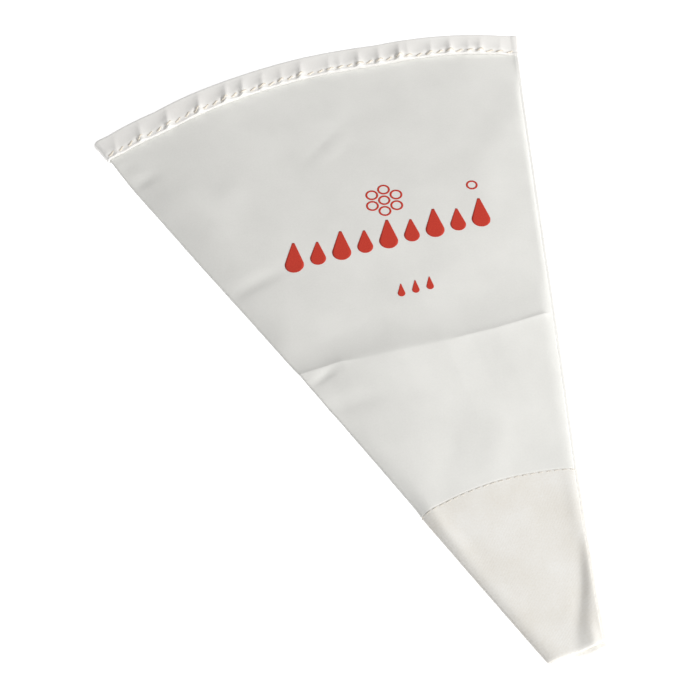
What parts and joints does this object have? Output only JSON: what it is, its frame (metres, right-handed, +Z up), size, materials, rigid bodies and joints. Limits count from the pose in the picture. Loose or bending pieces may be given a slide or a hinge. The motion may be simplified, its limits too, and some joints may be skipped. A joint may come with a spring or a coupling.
{
  "type": "piping bag",
  "caption": "Flat cone of coated cloth for piping cream, folded along one side and seamed along the other, with a turned stitched mouth hem, a reinforced tip cuff and a crease it folds at.",
  "frame": {"origin": "on the supporting surface under the middle of the bag's length, on the line half way between the two side lines, on the underside of the back cloth", "axes": "+Y along the bag from the tip to the mouth, +X towards the sewn side seam, +Z up out of the printed front"},
  "size_m": [0.179, 0.282, 0.0082],
  "materials": {
    "cloth": "smooth coated cotton",
    "hem": "puckered cotton hem",
    "cuff": "fine cotton twill",
    "thread": "sewing thread",
    "print": "matt screen print"
  },
  "bodies": {
    "upper": {"front_cloth_upper": "cloth", "back_cloth_upper": "cloth", "fold_edge_upper": "cloth", "side_seam_upper": "cloth", "side_seam_thread_upper": "thread", "front_hem": "hem", "back_hem": "hem", "hem_fold_turn": "hem", "hem_seam_end": "hem", "front_hem_thread": "thread", "back_hem_thread": "thread", "front_ornament": "print", "front_rosette": "print", "front_size_drops": "print"},
    "lower": {"front_cloth_lower": "cloth", "back_cloth_lower": "cloth", "fold_edge_lower": "cloth", "side_seam_lower": "cloth", "side_seam_thread_lower": "thread", "tip_cuff_front": "cuff", "tip_cuff_back": "cuff", "tip_cuff_fold": "cuff", "tip_cuff_seam": "cuff", "cuff_thread_front": "thread", "cuff_thread_back": "thread"}
  },
  "joints": [
    {"name": "crease_fold", "type": "hinge", "parent": "upper", "child": "lower", "pos_m": [0, -0.01, 0.0073], "axis": [-0.9979, 0.0645, 0], "range_deg": [0, 170]}
  ]
}
